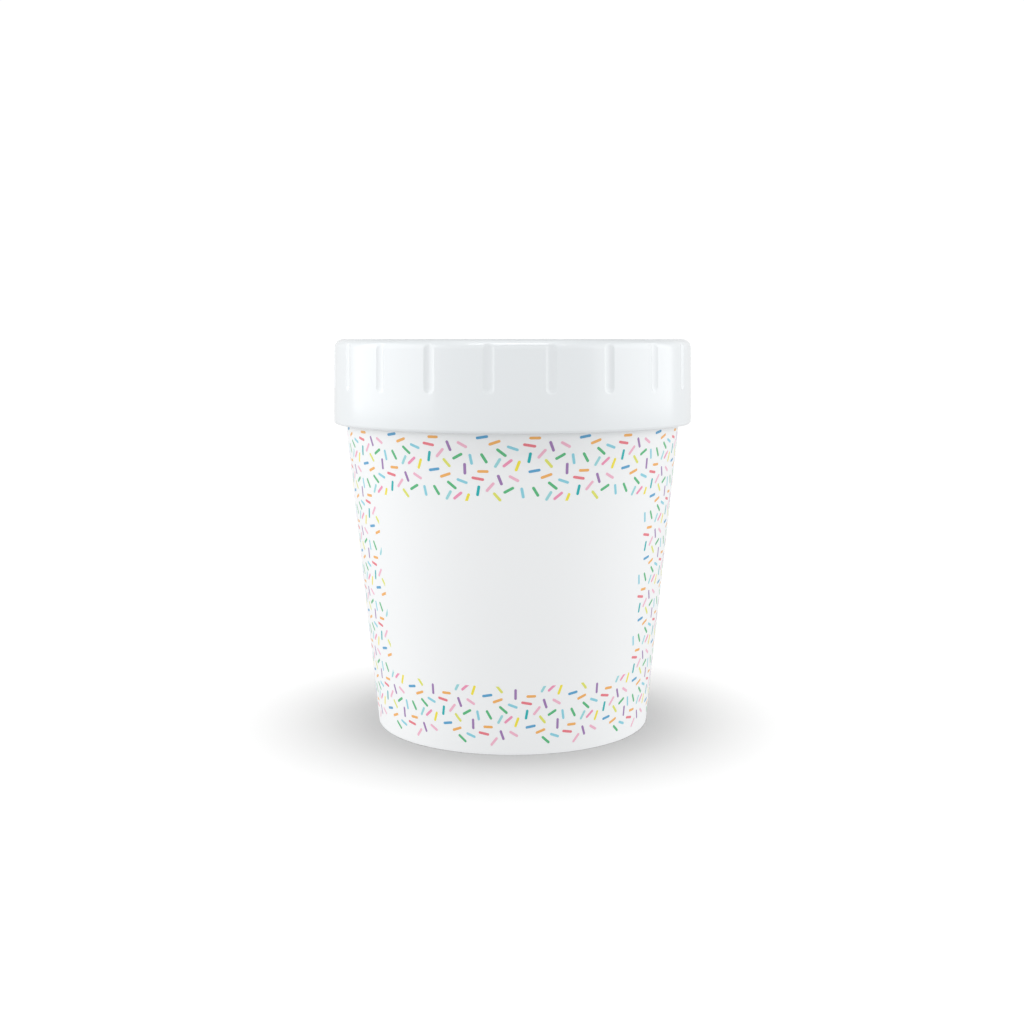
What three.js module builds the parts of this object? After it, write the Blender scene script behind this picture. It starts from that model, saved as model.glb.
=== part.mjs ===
// A pint tub of ice cream: a tapered paperboard tub, shut by a moulded plastic lid with grip grooves.
// Millimetres, +Z up. The tub stands on z = 0 with its axis on Z, and its front faces -Y.
import * as THREE from "three";

// Driving dimensions of the whole
const TOTAL_HEIGHT = 105;

// Lid, measured outside
const LID_DIAMETER = 96;
const LID_HEIGHT = 22.5;
const LID_DRAFT = 0.36; // how much wider the skirt's radius is at its foot
const LID_WALL = 1;
const LID_TOP_ROUND = 2.5;
const LID_FOOT_ROUND = 0.8;
const LIP_WIDTH = 2; // the foot is thickened inwards into a lip
const LIP_HEIGHT = 3.5;
const RING_WIDTH = 3; // the flat ring round the sunk top panel
const PANEL_DEPTH = 2.2;
const PANEL_SLOPE = 0.8;

// Grip grooves: round-bottomed flutes that run straight up through the top edge and end in a ball shape below
const GROOVE_COUNT = 20;
const GROOVE_WIDTH = 2.8;
const GROOVE_DEPTH = 0.38;
const GROOVE_LENGTH = 13.2; // from the lid's top
const FIRST_GROOVE = THREE.MathUtils.degToRad(-6.85); // angle from the front
const GROOVE_END_ROWS = 3;

// Tub
const BASE_DIAMETER = 74.5;
const WALL_TAPER = THREE.MathUtils.degToRad(5.45);
const LID_CLEARANCE = 0.3; // between the tub's top and the panel over it
const RIM_ROUND = 1.5;
const BASE_RECESS = 6;
const FOOT_WALL = 1.3;
const FOOT_ROUND = 0.35;
const TUB_COLUMNS = 120;

// The board laps over itself up the back: a step that dies away round the wall and stops under the lid
const SEAM_ANGLE = Math.PI;
const SEAM_STEP = 0.4;
const SEAM_SPREAD = THREE.MathUtils.degToRad(20);
const SEAM_EDGE = THREE.MathUtils.degToRad(0.25);
const SEAM_TOP = 88;

const ARC_DIVISIONS = 3; // a round stretch of an outline gets twice as many straight steps

const grooveRadius = ((GROOVE_WIDTH / 2) ** 2 + GROOVE_DEPTH ** 2) / (2 * GROOVE_DEPTH);
const groovePitch = (2 * Math.PI) / GROOVE_COUNT;
const grooveEnd = LID_HEIGHT - GROOVE_LENGTH;
const tubHeight = TOTAL_HEIGHT - PANEL_DEPTH - LID_WALL - LID_CLEARANCE;

// Outer radius of the lid's skirt, at a height above the lid's foot
function skirtRadius(height) {
  return LID_DIAMETER / 2 + (LID_DRAFT * (LID_HEIGHT - height)) / LID_HEIGHT;
}

// Outer radius of the tub's straight wall
function wallRadius(height) {
  return BASE_DIAMETER / 2 + height * Math.tan(WALL_TAPER);
}

// A body turned about the upright axis. Each column of its half section stands at one of the angles,
// and radiusAt gives the radius that a point of the section has there.
function turned(section, angles, radiusAt) {
  const outline = section.getPoints(ARC_DIVISIONS).reverse(); // upwards, so that the faces point out
  const geometry = new THREE.LatheGeometry(outline, angles.length);
  const position = geometry.attributes.position;
  for (let column = 0; column <= angles.length; column += 1) {
    const angle = angles[column % angles.length];
    outline.forEach((point, row) => {
      const radius = radiusAt(point, angle);
      const vertex = column * outline.length + row;
      position.setXYZ(vertex, radius * Math.sin(angle), -radius * Math.cos(angle), point.y);
    });
  }
  geometry.computeVertexNormals();
  return geometry;
}

// Half section of the lid, from the middle of its top round the skirt to the middle of its underside
function lidSection() {
  const topRadius = skirtRadius(LID_HEIGHT);
  const footRadius = skirtRadius(0);
  const roundStart = topRadius - LID_TOP_ROUND;
  const panelTop = LID_HEIGHT - PANEL_DEPTH;
  const panelUnderside = panelTop - LID_WALL;
  const lipRadius = footRadius - LIP_WIDTH;
  const lipShoulder = LIP_HEIGHT + LIP_WIDTH - LID_WALL;

  const path = new THREE.Path();
  path.moveTo(0, panelTop);
  path.lineTo(roundStart - RING_WIDTH - PANEL_SLOPE, panelTop);
  path.lineTo(roundStart - RING_WIDTH, LID_HEIGHT);
  path.lineTo(roundStart, LID_HEIGHT);
  path.absarc(roundStart, LID_HEIGHT - LID_TOP_ROUND, LID_TOP_ROUND, Math.PI / 2, 0, true);
  for (let row = 0; row <= GROOVE_END_ROWS; row += 1) {
    const drop = (GROOVE_WIDTH / 2) * Math.sin(((Math.PI / 2) * row) / GROOVE_END_ROWS);
    const height = grooveEnd + GROOVE_WIDTH / 2 - drop;
    path.lineTo(skirtRadius(height), height);
  }
  path.lineTo(footRadius, LID_FOOT_ROUND);
  path.absarc(footRadius - LID_FOOT_ROUND, LID_FOOT_ROUND, LID_FOOT_ROUND, 0, -Math.PI / 2, true);
  path.lineTo(lipRadius, 0);
  path.lineTo(lipRadius, LIP_HEIGHT);
  path.lineTo(skirtRadius(lipShoulder) - LID_WALL, lipShoulder);
  path.lineTo(skirtRadius(panelUnderside) - LID_WALL, panelUnderside);
  path.lineTo(0, panelUnderside);
  return path;
}

// Columns that stand on each groove's middle, flanks and edges, and on the land between two grooves
function lidAngles() {
  const edge = GROOVE_WIDTH / 2 / skirtRadius(LID_HEIGHT);
  const land = groovePitch / 2;
  const offsets = [-(edge + land) / 2, -edge, -edge / 2, 0, edge / 2, edge, (edge + land) / 2, land];
  const angles = [];
  for (let groove = 0; groove < GROOVE_COUNT; groove += 1) {
    const middle = FIRST_GROOVE + groove * groovePitch;
    angles.push(...offsets.map((offset) => middle + offset));
  }
  return angles;
}

// How deep the nearest groove cuts into the skirt
function grooveCut(angle, height) {
  const turns = (angle - FIRST_GROOVE) / groovePitch;
  const across = (turns - Math.round(turns)) * groovePitch * skirtRadius(height);
  const below = Math.max(0, grooveEnd + GROOVE_WIDTH / 2 - height);
  const reach = Math.max(0, grooveRadius ** 2 - across ** 2 - below ** 2);
  return Math.max(0, Math.sqrt(reach) - (grooveRadius - GROOVE_DEPTH));
}

function makeLid() {
  const radiusAt = (point, angle) => Math.min(point.x, skirtRadius(point.y) - grooveCut(angle, point.y));
  const material = new THREE.MeshStandardMaterial({ color: 0xf3f5f6, roughness: 0.25, metalness: 0 });
  const lid = new THREE.Mesh(turned(lidSection(), lidAngles(), radiusAt), material);
  lid.name = "lid";
  lid.position.z = TOTAL_HEIGHT - LID_HEIGHT;
  return lid;
}

// Half section of the shut tub, from the middle of its top down the wall to the middle of its recessed base
function tubSection() {
  const rimStart = tubHeight - RIM_ROUND;
  const rimRadius = wallRadius(rimStart) - RIM_ROUND;
  const footRadius = wallRadius(FOOT_ROUND) - FOOT_ROUND;

  const path = new THREE.Path();
  path.moveTo(0, tubHeight);
  path.lineTo(rimRadius, tubHeight);
  path.absarc(rimRadius, rimStart, RIM_ROUND, Math.PI / 2, 0, true);
  path.lineTo(wallRadius(SEAM_TOP), SEAM_TOP);
  path.lineTo(wallRadius(FOOT_ROUND), FOOT_ROUND);
  path.absarc(footRadius, FOOT_ROUND, FOOT_ROUND, 0, -Math.PI / 2, true);
  path.lineTo(wallRadius(0) - FOOT_WALL, 0);
  path.lineTo(wallRadius(BASE_RECESS) - FOOT_WALL, BASE_RECESS);
  path.lineTo(0, BASE_RECESS);
  return path;
}

// Even columns, with a close pair where the board's edge makes its step
function tubAngles() {
  const angles = [];
  for (let column = 0; column < TUB_COLUMNS; column += 1) {
    angles.push((2 * Math.PI * column) / TUB_COLUMNS);
  }
  angles.splice(TUB_COLUMNS / 2, 1, SEAM_ANGLE - SEAM_EDGE, SEAM_ANGLE + SEAM_EDGE);
  return angles;
}

// How far the lapped board stands proud of the wall
function seamLift(angle) {
  const past = angle - SEAM_ANGLE;
  return past > 0 && past < SEAM_SPREAD ? SEAM_STEP * (1 - past / SEAM_SPREAD) : 0;
}

function makeTub() {
  const isOnWall = (point) => point.y <= SEAM_TOP && point.x > wallRadius(point.y) - FOOT_WALL / 2;
  const radiusAt = (point, angle) => point.x + (isOnWall(point) ? seamLift(angle) : 0);
  const material = new THREE.MeshStandardMaterial({ color: 0xf4f4f2, roughness: 0.45, metalness: 0 });
  const tub = new THREE.Mesh(turned(tubSection(), tubAngles(), radiusAt), material);
  tub.name = "tub";
  return tub;
}

const iceCreamTub = new THREE.Group();
iceCreamTub.add(makeTub(), makeLid());

export default iceCreamTub;
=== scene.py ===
import math
import random

import bpy
import numpy as np
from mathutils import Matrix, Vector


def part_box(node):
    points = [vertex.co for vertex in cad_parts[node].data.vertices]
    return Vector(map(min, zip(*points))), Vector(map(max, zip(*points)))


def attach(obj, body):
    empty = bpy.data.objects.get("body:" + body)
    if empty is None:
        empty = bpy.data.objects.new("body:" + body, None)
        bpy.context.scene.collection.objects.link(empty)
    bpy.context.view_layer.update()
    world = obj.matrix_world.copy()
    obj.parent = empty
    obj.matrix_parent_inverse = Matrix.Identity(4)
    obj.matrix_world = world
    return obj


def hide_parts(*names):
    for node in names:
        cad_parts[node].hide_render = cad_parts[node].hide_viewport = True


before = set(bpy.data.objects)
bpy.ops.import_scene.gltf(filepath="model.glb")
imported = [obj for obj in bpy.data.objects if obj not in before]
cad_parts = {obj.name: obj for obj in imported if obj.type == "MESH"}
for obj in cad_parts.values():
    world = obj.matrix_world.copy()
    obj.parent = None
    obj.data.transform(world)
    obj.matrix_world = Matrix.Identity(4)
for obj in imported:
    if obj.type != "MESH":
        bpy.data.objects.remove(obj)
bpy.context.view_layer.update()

MM = 0.001

# Lid: its top and foot come from the frame
LID_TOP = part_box("lid")[1].z
LID_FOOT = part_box("lid")[0].z
LID_RADIUS = 48 * MM
LID_DRAFT = 0.36 * MM
LID_WALL = 1 * MM
LID_TOP_ROUND = 2.5 * MM
LID_FOOT_ROUND = 0.8 * MM
LIP_WIDTH = 2 * MM
LIP_HEIGHT = 3.5 * MM
RING_WIDTH = 3 * MM
PANEL_DEPTH = 2.2 * MM
PANEL_SLOPE = 0.8 * MM
PANEL_ROUND = 0.5 * MM
GATE_RADIUS = 1.4 * MM
GATE_HEIGHT = 0.25 * MM
INNER_ROUND = 0.3 * MM

# Grip grooves in the lid's skirt
GROOVE_COUNT = 20
GROOVE_WIDTH = 2.8 * MM
GROOVE_DEPTH = 0.38 * MM
GROOVE_LENGTH = 13.2 * MM
FIRST_GROOVE = math.radians(-6.85)
GROOVE_SOFTNESS = 0.05 * MM

# Tub: its height comes from the frame
TUB_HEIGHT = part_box("tub")[1].z
BASE_RADIUS = 37.25 * MM
WALL_TAPER = math.radians(5.45)
RIM_ROUND = 1.5 * MM
BASE_RECESS = 6 * MM
FOOT_WALL = 1.3 * MM
FOOT_ROUND = 0.35 * MM
KNURL_COUNT = 90
KNURL_DEPTH = 0.08 * MM

# Lap seam up the tub's back
SEAM_ANGLE = math.pi
SEAM_STEP = 0.4 * MM
SEAM_SPREAD = math.radians(20)
SEAM_EDGE = math.radians(0.12)
SEAM_TOP = 88 * MM

# Fineness of the meshes
ARC_STEP = 0.12 * MM
ARC_LEAST_STEPS = 6
GROOVE_END_ROWS = 18
GROOVE_COLUMNS = 5
RIM_COLUMNS = 7
LAND_COLUMNS = 5
WALL_ROWS = 12
TUB_COLUMNS = 360
SPRINKLE_END_STEPS = 3
SPRINKLE_STEPS = 4
POINT_DIGITS = 4  # points of the print that agree to so many places of a millimetre are one
SHARP_ANGLE = math.radians(40)

# The lid's columns at a groove, in shares of the groove's half width
GROOVE_INSIDE = 0.85  # where the inside ends
RIM_REACH = 0.08  # how far the rim goes to both sides of the edge
LAND_START = 1.3  # where the land between two grooves starts

# Printed sprinkles: a brick repeat of one small cell round the wall, with a plain panel in front
PRINT_SEED = 12
LAYOUT_TURNS = 4  # how often each sprinkle of the cell is placed
LAYOUT_DRAWS = 60  # and out of how many places
SAME_INK_ROOM = 0.45  # what the room to a sprinkle of the same ink counts for
PRINT_RADIUS = 41.3 * MM  # where the flat print has its true width
PRINT_FOOT = 2.2 * MM
PRINT_TOP = 82 * MM
CELLS_ROUND = 11
CELL_HEIGHT = 8.2 * MM
SPRINKLE_LENGTH = (2.65 * MM, 3.05 * MM)
SPRINKLE_WIDTH = 0.68 * MM
INK_LIFT = 0.015 * MM  # how far a film of ink stands out of the wall, and reaches into it
PANEL_LEFT = math.radians(-53.45)
PANEL_RIGHT = math.radians(51.0)
PANEL_FOOT = 18.3 * MM
PANEL_TOP = 65.7 * MM

# Each ink: how many sprinkles of it a cell holds, and its linear colour
INKS = {
    "green": (3, (0.09, 0.47, 0.2)),
    "yellow": (1, (0.86, 0.74, 0.05)),
    "purple": (2, (0.33, 0.185, 0.43)),
    "lime": (1, (0.72, 0.74, 0.13)),
    "cyan": (2, (0.25, 0.62, 0.73)),
    "sky": (1, (0.31, 0.66, 0.7)),
    "teal": (1, (0.0, 0.42, 0.44)),
    "rose": (2, (0.85, 0.45, 0.58)),
    "pink": (1, (0.84, 0.29, 0.46)),
    "blue": (1, (0.09, 0.35, 0.6)),
    "coral": (1, (0.79, 0.19, 0.23)),
    "orange": (2, (0.86, 0.42, 0.11)),
}

# Surfaces. Each roughness wanders between two values over patches of a certain size
NOISE_DETAIL = 3
LID_COLOUR = (0.787, 0.816, 0.833)
LID_ROUGHNESS = (0.16, 0.22)
LID_PATCH = 6 * MM
LID_WAVE = 8 * MM
LID_WAVE_DEPTH = 0.003 * MM
BOARD_COLOUR = (0.882, 0.896, 0.904)
BOARD_ROUGHNESS = (0.36, 0.46)
BOARD_PATCH = 3 * MM
BOARD_TOOTH = 0.3 * MM
BOARD_TOOTH_DEPTH = 0.004 * MM
INK_ROUGHNESS = (0.36, 0.48)
INK_PATCH = 0.4 * MM
INK_GLOSS = 0.5
FLOOR_COLOUR = (0.45, 0.45, 0.45)
FLOOR_ROUGHNESS = (0.85, 0.95)
FLOOR_PATCH = 20 * MM
FLOOR_HALF = 8

# Camera, as the photograph has it: the focal length is in pixels of a square image
IMAGE_PIXELS = 1024
FOCAL_PIXELS = 1362
SENSOR_WIDTH = 36
EYE_DISTANCE = 372.9 * MM
EYE_SIDE = -0.16 * MM
EYE_HEIGHT = LID_TOP
EYE_PITCH = math.radians(7.24)
NEAR_LIMIT = 10 * MM

# Studio light, in metres. Each softbox: azimuth from the front, width, foot, height and radiance
SOFTBOX_DISTANCE = 0.9
SOFTBOXES = {
    "softbox_left": (math.radians(-83), 1.26, 0.015, 0.975, 1.6),
    "softbox_right": (math.radians(85), 1.2, 0.015, 0.975, 1.42),
    "softbox_high": (0, 1.74, 1.4, 2.3, 4.8),
}
OVERHEAD_ANGLE = math.radians(42)  # how wide the light from above is, seen from the tub
OVERHEAD_ON_PART = 0.3
OVERHEAD_ON_FLOOR = 6.4
# Light from all round, which fades out upwards between two heights of the direction it comes from
ROOM_RADIANCE = 0.8
ROOM_FADE = (0.3, 0.72)
BACKDROP_RADIANCE = 1.05  # what the camera sees in place of the room


def skirt_radius(height):
    """Outer radius of the lid's skirt."""
    return LID_RADIUS + LID_DRAFT * (LID_TOP - height) / (LID_TOP - LID_FOOT)


def wall_radius(height):
    """Outer radius of the tub's straight wall."""
    return BASE_RADIUS + height * math.tan(WALL_TAPER)


def rounded(corners):
    """Outline through corners given as (radius, height, rounding), with an arc at each rounded one."""
    outline = []
    for index, (radius, height, rounding) in enumerate(corners):
        corner = np.array([radius, height])
        if rounding == 0:
            outline.append(corner)
            continue
        before = np.array(corners[index - 1][:2]) - corner
        after = np.array(corners[index + 1][:2]) - corner
        before /= np.linalg.norm(before)
        after /= np.linalg.norm(after)
        half_turn = math.acos(np.clip(before @ after, -1, 1)) / 2
        inwards = (before + after) / np.linalg.norm(before + after)
        centre = corner + inwards * rounding / math.sin(half_turn)
        start = corner + before * rounding / math.tan(half_turn) - centre
        end = corner + after * rounding / math.tan(half_turn) - centre
        arc_steps = max(ARC_LEAST_STEPS, round(rounding / ARC_STEP))
        sweep = math.pi - 2 * half_turn
        for step in range(arc_steps + 1):
            share = step / arc_steps
            mixed = start * math.sin((1 - share) * sweep) + end * math.sin(share * sweep)
            outline.append(centre + mixed / math.sin(sweep))
    return np.array(outline)


def add_piece(name, vertices, faces, material):
    """A smooth mesh that rides with the part."""
    mesh = bpy.data.meshes.new(name)
    mesh.from_pydata(vertices, [], faces)
    mesh.shade_smooth()
    mesh.set_sharp_from_angle(angle=SHARP_ANGLE)
    mesh.materials.append(material)
    piece = bpy.data.objects.new(name, mesh)
    bpy.context.scene.collection.objects.link(piece)
    lit_part.objects.link(piece)
    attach(piece, "root")
    return piece


def turned(outline, angles, radius_at):
    """Vertices and faces of a body turned about Z, whose outline starts and ends on the axis."""
    rows = outline[1:-1]
    heights = rows[:, 1:2]
    radii = radius_at(rows[:, 0:1], heights, angles[None, :])
    grid = np.stack([radii * np.sin(angles), -radii * np.cos(angles), heights + 0 * radii], axis=-1)
    columns = len(angles)
    top = len(rows) * columns
    underside = top + 1
    poles = [(0, 0, outline[0][1]), (0, 0, outline[-1][1])]
    vertices = np.concatenate([grid.reshape(-1, 3), poles])
    last_row = (len(rows) - 1) * columns
    faces = []
    for column in range(columns):
        beside = (column + 1) % columns
        faces.append((top, column, beside))
        for row in range(0, last_row, columns):
            below = row + columns
            faces.append((row + column, below + column, below + beside, row + beside))
        faces.append((underside, last_row + beside, last_row + column))
    return vertices, faces


def lid_outline():
    """Half section of the lid, with a moulding gate's small button in the middle of its sunk panel."""
    panel_top = LID_TOP - PANEL_DEPTH
    panel_underside = panel_top - LID_WALL
    ring_inside = LID_RADIUS - LID_TOP_ROUND - RING_WIDTH
    foot_radius = skirt_radius(LID_FOOT)
    lip_radius = foot_radius - LIP_WIDTH
    lip_top = LID_FOOT + LIP_HEIGHT
    lip_shoulder = lip_top + LIP_WIDTH - LID_WALL
    groove_end = LID_TOP - GROOVE_LENGTH
    corners = [
        (0, panel_top + GATE_HEIGHT, 0),
        (GATE_RADIUS, panel_top + GATE_HEIGHT, GATE_HEIGHT / 2),
        (GATE_RADIUS + GATE_HEIGHT, panel_top, GATE_HEIGHT / 2),
        (ring_inside - PANEL_SLOPE, panel_top, PANEL_ROUND),
        (ring_inside, LID_TOP, PANEL_ROUND),
        (LID_RADIUS, LID_TOP, LID_TOP_ROUND),
    ]
    end_start = groove_end + GROOVE_WIDTH / 2
    end_rows = np.linspace(end_start, groove_end - 2 * GROOVE_SOFTNESS, GROOVE_END_ROWS)
    for height in [*end_rows, groove_end - GROOVE_WIDTH / 4, groove_end - GROOVE_WIDTH / 2]:
        corners.append((skirt_radius(height), height, 0))
    corners += [
        (foot_radius, LID_FOOT, LID_FOOT_ROUND),
        (lip_radius, LID_FOOT, INNER_ROUND),
        (lip_radius, lip_top, INNER_ROUND),
        (skirt_radius(lip_shoulder) - LID_WALL, lip_shoulder, INNER_ROUND),
        (skirt_radius(panel_underside) - LID_WALL, panel_underside, INNER_ROUND),
        (0, panel_underside, 0),
    ]
    return rounded(corners)


def lid_angles():
    """Columns closest together over the edges of each groove, and widest on the lands."""
    edge = GROOVE_WIDTH / 2 / LID_RADIUS
    land = math.pi / GROOVE_COUNT
    inside = np.linspace(0, GROOVE_INSIDE * edge, GROOVE_COLUMNS)
    rim = np.linspace((1 - RIM_REACH) * edge, (1 + RIM_REACH) * edge, RIM_COLUMNS)
    outside = np.linspace(LAND_START * edge, land, LAND_COLUMNS)
    side = np.concatenate([inside, rim, outside])
    offsets = np.concatenate([-side[-2:0:-1], side])
    middles = FIRST_GROOVE + 2 * land * np.arange(GROOVE_COUNT)
    return (middles[:, None] + offsets[None, :]).ravel()


def soft_excess(value, reach):
    """How far a value is over zero, with the corner at zero rounded over a reach to both sides."""
    return np.where(value > reach, value, np.maximum(0, value + reach) ** 2 / (4 * reach))


def lid_radius_at(radius, height, angle):
    """Radius of a point of the lid's outline once the grooves are cut, with ball ends and soft edges."""
    pitch = 2 * math.pi / GROOVE_COUNT
    tool = ((GROOVE_WIDTH / 2) ** 2 + GROOVE_DEPTH ** 2) / (2 * GROOVE_DEPTH)
    turns = (angle - FIRST_GROOVE) / pitch
    across = (turns - np.round(turns)) * pitch * LID_RADIUS
    below = np.maximum(0, LID_TOP - GROOVE_LENGTH + GROOVE_WIDTH / 2 - height)
    flute = np.sqrt(np.maximum(0, tool ** 2 - across ** 2 - below ** 2)) - (tool - GROOVE_DEPTH)
    return radius - soft_excess(radius - skirt_radius(height) + flute, GROOVE_SOFTNESS)


def tub_outline():
    """Half section of the shut tub, with its base set up inside the foot of the wall."""
    corners = [
        (0, TUB_HEIGHT, 0),
        (wall_radius(TUB_HEIGHT), TUB_HEIGHT, RIM_ROUND),
        (wall_radius(SEAM_TOP), SEAM_TOP, 0),
    ]
    for height in np.linspace(SEAM_TOP, 0, WALL_ROWS)[1:-1]:
        corners.append((wall_radius(height), height, 0))
    corners += [
        (wall_radius(0), 0, FOOT_ROUND),
        (wall_radius(0) - FOOT_WALL, 0, FOOT_ROUND),
        (wall_radius(BASE_RECESS) - FOOT_WALL, BASE_RECESS, FOOT_ROUND),
        (0, BASE_RECESS, 0),
    ]
    return rounded(corners)


def tub_angles():
    """Even columns, with a close pair where the board's edge makes its step."""
    even = np.arange(TUB_COLUMNS) * 2 * math.pi / TUB_COLUMNS
    pair = [SEAM_ANGLE - SEAM_EDGE, SEAM_ANGLE + SEAM_EDGE]
    return np.sort(np.append(even[even != SEAM_ANGLE], pair))


def seam_lift(angle):
    """How far the lapped board stands proud of the wall, at up to a full turn past its edge."""
    past = angle - SEAM_ANGLE
    return np.where((past > 0) & (past < SEAM_SPREAD), SEAM_STEP * (1 - past / SEAM_SPREAD), 0)


def tub_radius_at(radius, height, angle):
    """Radius of a point of the tub's outline, with the seam outside and crimps inside the foot."""
    outside = (height <= SEAM_TOP) & (radius > wall_radius(height) - FOOT_WALL / 2)
    in_foot = (height > FOOT_ROUND) & (height < BASE_RECESS - FOOT_ROUND) & ~outside
    knurl = KNURL_DEPTH * np.cos(KNURL_COUNT * angle)
    return radius + np.where(outside, seam_lift(angle), 0) + np.where(in_foot, knurl, 0)


def add_noise(tree, patch):
    """Solid noise whose patches are about the given size across."""
    place = tree.nodes.new("ShaderNodeTexCoord")
    noise = tree.nodes.new("ShaderNodeTexNoise")
    noise.inputs["Scale"].default_value = 1 / patch
    noise.inputs["Detail"].default_value = NOISE_DETAIL
    tree.links.new(place.outputs["Object"], noise.inputs["Vector"])
    return noise.outputs["Fac"]


def new_material(name, colour, roughness, patch):
    """A material with one shader, which is returned too, and its node tree for further details."""
    material = bpy.data.materials.new(name)
    material.use_nodes = True
    tree = material.node_tree
    shader = tree.nodes["Principled BSDF"]
    shader.inputs["Base Color"].default_value = (*colour, 1)
    spread = tree.nodes.new("ShaderNodeMapRange")
    spread.inputs["To Min"].default_value = roughness[0]
    spread.inputs["To Max"].default_value = roughness[1]
    tree.links.new(add_noise(tree, patch), spread.inputs["Value"])
    tree.links.new(spread.outputs["Result"], shader.inputs["Roughness"])
    return material, tree, shader


def add_relief(tree, shader, patch, depth):
    """Shallow relief whose bumps are about the given size across."""
    bump = tree.nodes.new("ShaderNodeBump")
    bump.inputs["Distance"].default_value = depth
    tree.links.new(add_noise(tree, patch), bump.inputs["Height"])
    tree.links.new(bump.outputs["Normal"], shader.inputs["Normal"])


def lid_material():
    """White moulded plastic, glossy and very slightly wavy."""
    material, tree, shader = new_material("lid_plastic", LID_COLOUR, LID_ROUGHNESS, LID_PATCH)
    add_relief(tree, shader, LID_WAVE, LID_WAVE_DEPTH)
    return material


def board_material():
    """White coated paperboard with a fine tooth."""
    material, tree, shader = new_material("tub_board", BOARD_COLOUR, BOARD_ROUGHNESS, BOARD_PATCH)
    add_relief(tree, shader, BOARD_TOOTH, BOARD_TOOTH_DEPTH)
    return material


def ink_material(name, colour):
    """Printing ink on the coated board."""
    material, _, shader = new_material("ink_" + name, colour, INK_ROUGHNESS, INK_PATCH)
    shader.inputs["Specular IOR Level"].default_value = INK_GLOSS
    return material


def cell_width():
    """Width of the print's cell, a whole number of which go round the wall."""
    return 2 * math.pi * PRINT_RADIUS / CELLS_ROUND


def sprinkle_spots(across, up, tilt, length):
    """Both ends and the middle of a sprinkle."""
    along = np.array([math.cos(tilt), math.sin(tilt)]) * length / 2
    return np.array([across, up]) + np.outer([-1, 0, 1], along)


def freedom(ink, spots, others):
    """Room round a sprinkle among the others, of which those of its own ink are to be further off."""
    room = [cell_width()]
    for other_ink, other_spots in others:
        apart = np.linalg.norm(spots[:, None, :] - other_spots[None, :, :], axis=-1).min()
        room.append(apart * (SAME_INK_ROOM if other_ink == ink else 1))
    return min(room)


def lay_out_cell():
    """Sprinkles of one cell as (ink, across, up, tilt, length), spread out by turns.

    At its turn, a sprinkle moves to the freest of a number of places drawn at random.
    """
    draw = random.Random(PRINT_SEED)
    inks = [ink for ink, (count, _) in INKS.items() for _ in range(count)]
    draw.shuffle(inks)
    shifts = []
    for row in (-1, 0, 1):
        for column in (-1, 0, 1):
            shifts.append(((column + row / 2) * cell_width(), row * CELL_HEIGHT))
    shifts = np.array(shifts)
    sprinkles = {}
    for turn in range(LAYOUT_TURNS * len(inks)):
        index = turn % len(inks)
        tilt = math.pi * index / len(inks)
        others = []
        for other, sprinkle in sprinkles.items():
            if other != index:
                spots = sprinkle_spots(*sprinkle)
                others.append((inks[other], (spots[:, None, :] + shifts[None, :, :]).reshape(-1, 2)))
        places = [sprinkles[index]] if index in sprinkles else []
        for _ in range(LAYOUT_DRAWS):
            across, up = draw.uniform(0, cell_width()), draw.uniform(0, CELL_HEIGHT)
            places.append((across, up, tilt, draw.uniform(*SPRINKLE_LENGTH)))
        rooms = [freedom(inks[index], sprinkle_spots(*place), others) for place in places]
        sprinkles[index] = places[rooms.index(max(rooms))]
    return [(inks[index], *sprinkle) for index, sprinkle in sprinkles.items()]


def capsule(across, up, tilt, length):
    """A sprinkle laid flat: a row of narrow four-sided faces from one round end to the other."""
    along = np.array([math.cos(tilt), math.sin(tilt)])
    sideways = np.array([-along[1], along[0]])
    half = SPRINKLE_WIDTH / 2
    straight = length / 2 - half
    bends = np.linspace(math.pi / 2, 0, SPRINKLE_END_STEPS + 1)
    ends = [(straight + half * math.sin(bend), half * math.cos(bend)) for bend in bends]
    stations = [(-reach, breadth) for reach, breadth in ends]
    stations += [(reach, half) for reach in np.linspace(-straight, straight, SPRINKLE_STEPS + 1)[1:-1]]
    stations += ends[::-1]
    middle = np.array([across, up])
    faces = []
    for (start, start_half), (end, end_half) in zip(stations, stations[1:]):
        faces.append([
            middle + start * along - start_half * sideways,
            middle + end * along - end_half * sideways,
            middle + end * along + end_half * sideways,
            middle + start * along + start_half * sideways,
        ])
    return faces


def clip(face, axis, limit, side):
    """The part of a flat face on one side of a straight line across or up the print."""
    kept = []
    for index, point in enumerate(face):
        before = face[index - 1]
        depth, depth_before = side * (point[axis] - limit), side * (before[axis] - limit)
        if depth * depth_before < 0:
            kept.append(before + (point - before) * depth_before / (depth_before - depth))
        if depth >= 0:
            kept.append(point)
    return kept


def is_on_panel(across, up):
    """Whether a point of the print lies on the plain panel."""
    angle = across / PRINT_RADIUS - math.pi
    return PANEL_LEFT < angle < PANEL_RIGHT and PANEL_FOOT < up < PANEL_TOP


def around_panel(face):
    """The parts of a face that lie outside the plain panel."""
    left = (PANEL_LEFT + math.pi) * PRINT_RADIUS
    right = (PANEL_RIGHT + math.pi) * PRINT_RADIUS
    regions = [
        [(0, left, -1)],
        [(0, right, 1)],
        [(0, left, 1), (0, right, -1), (1, PANEL_FOOT, -1)],
        [(0, left, 1), (0, right, -1), (1, PANEL_TOP, 1)],
    ]
    for region in regions:
        part = face
        for axis, limit, side in region:
            part = clip(part, axis, limit, side) if part else part
        if len(part) > 2:
            yield part


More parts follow.
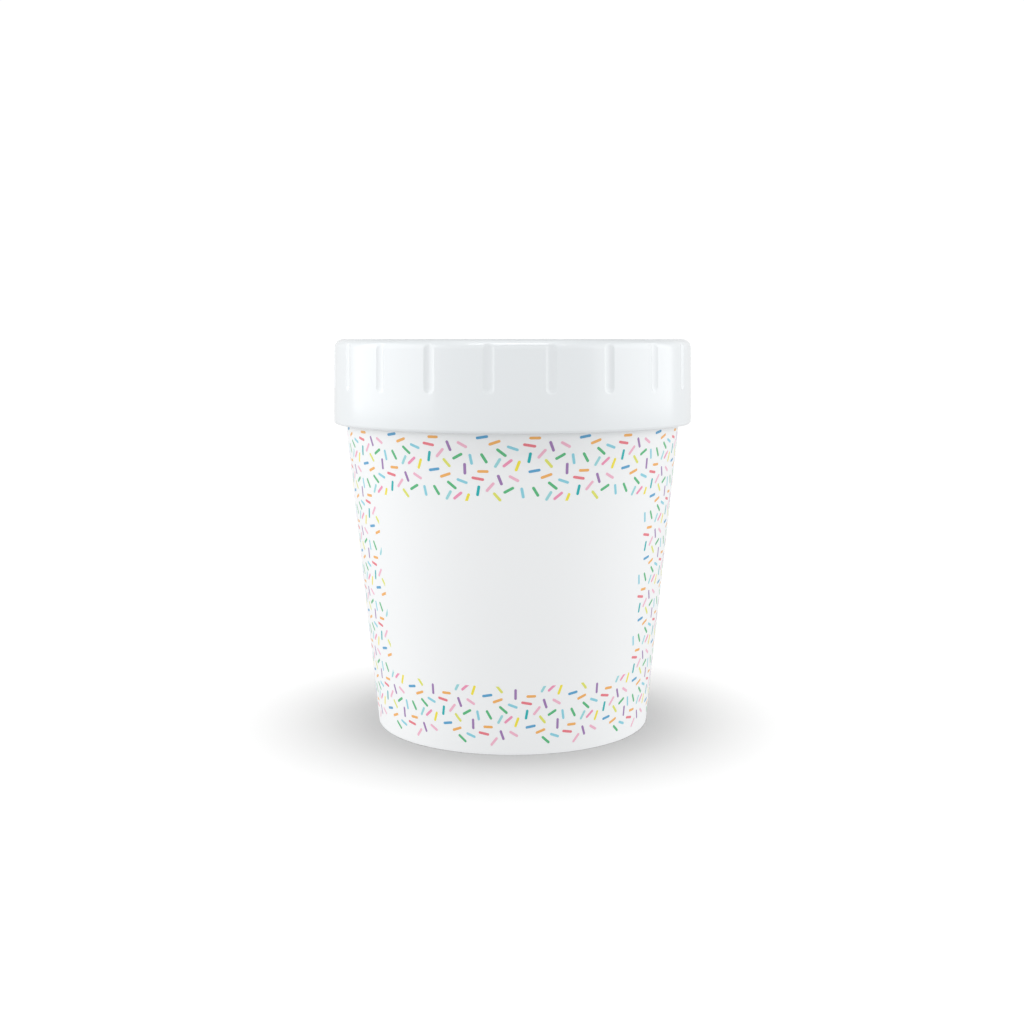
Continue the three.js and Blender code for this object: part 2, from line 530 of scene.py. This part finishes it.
def print_faces():
    """Flat faces of all the sprinkles, sorted by ink.

    Across runs once round the wall from the seam. No sprinkle reaches past the seam, foot or top, and
    one whose middle is on the panel is left out.
    """
    cell = lay_out_cell()
    low = np.array([SPRINKLE_WIDTH / 2, PRINT_FOOT])
    high = np.array([CELLS_ROUND * cell_width() - SPRINKLE_WIDTH / 2, PRINT_TOP])
    faces = {ink: [] for ink in INKS}
    rows = math.ceil(PRINT_TOP / CELL_HEIGHT)
    for row in range(rows):
        for column in range(-1, CELLS_ROUND):
            for ink, across, up, tilt, length in cell:
                place = (column + row % 2 / 2) * cell_width() + across
                height = row * CELL_HEIGHT + up
                sprinkle = capsule(place, height, tilt, length)
                if is_on_panel(place, height) or np.any((sprinkle < low) | (sprinkle > high)):
                    continue
                for face in sprinkle:
                    faces[ink].extend(around_panel(face))
    return faces


def on_wall(across, height, lift):
    """Point of the wall for a flat point of the print."""
    angle = across / PRINT_RADIUS + math.pi
    radius = wall_radius(height) + float(seam_lift(angle)) + lift
    return radius * math.sin(angle), -radius * math.cos(angle), height


def film(flat_faces):
    """Vertices and faces of thin closed films of ink that follow the wall."""
    number = {}
    faces = []
    for flat_face in flat_faces:
        face = []
        for point in flat_face:
            key = (round(point[0] / MM, POINT_DIGITS), round(point[1] / MM, POINT_DIGITS))
            index = number.setdefault(key, len(number))
            if index not in face:
                face.append(index)
        if len(face) > 2:
            faces.append(face)
    edges = {(start, end) for face in faces for start, end in zip(face, face[1:] + face[:1])}
    border = [(start, end) for start, end in edges if (end, start) not in edges]
    count = len(number)
    vertices = [on_wall(across * MM, height * MM, INK_LIFT) for across, height in number]
    vertices += [on_wall(across * MM, height * MM, -INK_LIFT) for across, height in number]
    undersides = [[index + count for index in reversed(face)] for face in faces]
    sides = [(end, start, start + count, end + count) for start, end in border]
    return vertices, faces + undersides + sides


def make_lid():
    """The plastic lid."""
    vertices, faces = turned(lid_outline(), lid_angles(), lid_radius_at)
    lid = add_piece("lid_shell", vertices, faces, lid_material())
    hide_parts("lid")


def make_tub():
    """The paperboard tub."""
    vertices, faces = turned(tub_outline(), tub_angles(), tub_radius_at)
    tub = add_piece("tub_body", vertices, faces, board_material())
    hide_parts("tub")


def make_print():
    """One piece for each ink."""
    for ink, flat_faces in print_faces().items():
        vertices, faces = film(flat_faces)
        add_piece("print_" + ink, vertices, faces, ink_material(ink, INKS[ink][1]))


def make_floor():
    """A pale floor, which takes no part in the light on the tub."""
    low, high = -FLOOR_HALF, FLOOR_HALF
    mesh = bpy.data.meshes.new("floor")
    corners = [(low, low, 0), (high, low, 0), (high, high, 0), (low, high, 0)]
    mesh.from_pydata(corners, [], [(0, 1, 2, 3)])
    material, _, _ = new_material("floor_white", FLOOR_COLOUR, FLOOR_ROUGHNESS, FLOOR_PATCH)
    mesh.materials.append(material)
    floor = bpy.data.objects.new("floor", mesh)
    floor.visible_diffuse = False
    floor.visible_glossy = False
    bpy.context.scene.collection.objects.link(floor)
    lit_floor.objects.link(floor)


def make_camera():
    """A camera at the photograph's place, which looks a little down at the tub."""
    data = bpy.data.cameras.new("camera")
    data.sensor_width = SENSOR_WIDTH
    data.lens = FOCAL_PIXELS / IMAGE_PIXELS * SENSOR_WIDTH
    data.clip_start = NEAR_LIMIT
    camera = bpy.data.objects.new("camera", data)
    camera.location = (EYE_SIDE, -EYE_DISTANCE, EYE_HEIGHT)
    camera.rotation_euler = (math.pi / 2 - EYE_PITCH, 0, 0)
    bpy.context.scene.collection.objects.link(camera)
    bpy.context.scene.camera = camera


def add_light(name, kind, lit):
    """A light that is not itself in the picture, and that falls on one set of objects alone."""
    data = bpy.data.lights.new(name, kind)
    light = bpy.data.objects.new(name, data)
    light.visible_camera = False
    light.light_linking.receiver_collection = lit
    bpy.context.scene.collection.objects.link(light)
    return light, data


def add_softbox(name, azimuth, width, foot, height, radiance):
    """An upright soft light that faces the tub."""
    softbox, data = add_light(name, "AREA", lit_part)
    data.shape = "RECTANGLE"
    data.size, data.size_y = width, height
    data.energy = radiance * math.pi * width * height
    away = (math.sin(azimuth) * SOFTBOX_DISTANCE, -math.cos(azimuth) * SOFTBOX_DISTANCE)
    softbox.location = (*away, foot + height / 2)
    softbox.rotation_euler = (math.pi / 2, 0, azimuth)


def add_overhead(name, lit, strength):
    """A wide light straight above, which makes the soft shadow round the foot."""
    _, data = add_light(name, "SUN", lit)
    data.angle = OVERHEAD_ANGLE
    data.energy = strength


def make_room():
    """Light from a white room all round, which the camera sees as a plain white backdrop.

    The room is not sampled as a light, because the floor would hide its lower half from those samples.
    """
    world = bpy.data.worlds.new("room")
    bpy.context.scene.world = world
    world.cycles.sampling_method = "NONE"
    world.use_nodes = True
    tree = world.node_tree
    direction = tree.nodes.new("ShaderNodeTexCoord")
    split = tree.nodes.new("ShaderNodeSeparateXYZ")
    fade = tree.nodes.new("ShaderNodeMapRange")
    fade.inputs["From Min"].default_value = ROOM_FADE[0]
    fade.inputs["From Max"].default_value = ROOM_FADE[1]
    fade.inputs["To Min"].default_value = ROOM_RADIANCE
    fade.inputs["To Max"].default_value = 0
    room = tree.nodes["Background"]
    room.inputs["Color"].default_value = (1, 1, 1, 1)
    backdrop = tree.nodes.new("ShaderNodeBackground")
    backdrop.inputs["Color"].default_value = (1, 1, 1, 1)
    backdrop.inputs["Strength"].default_value = BACKDROP_RADIANCE
    ray = tree.nodes.new("ShaderNodeLightPath")
    choose = tree.nodes.new("ShaderNodeMixShader")
    tree.links.new(direction.outputs["Generated"], split.inputs["Vector"])
    tree.links.new(split.outputs["Z"], fade.inputs["Value"])
    tree.links.new(fade.outputs["Result"], room.inputs["Strength"])
    tree.links.new(ray.outputs["Is Camera Ray"], choose.inputs["Fac"])
    tree.links.new(room.outputs["Background"], choose.inputs[1])
    tree.links.new(backdrop.outputs["Background"], choose.inputs[2])
    tree.links.new(choose.outputs["Shader"], tree.nodes["World Output"].inputs["Surface"])


def make_lights():
    """Softboxes on the tub, and light from above on the tub and the floor apart."""
    for name, setting in SOFTBOXES.items():
        add_softbox(name, *setting)
    add_overhead("overhead_part", lit_part, OVERHEAD_ON_PART)
    add_overhead("overhead_floor", lit_floor, OVERHEAD_ON_FLOOR)


lit_part = bpy.data.collections.new("lit_part")
lit_floor = bpy.data.collections.new("lit_floor")
make_lid()
make_tub()
make_print()
make_floor()
make_room()
make_lights()
make_camera()
bpy.context.scene.view_settings.view_transform = "Standard"
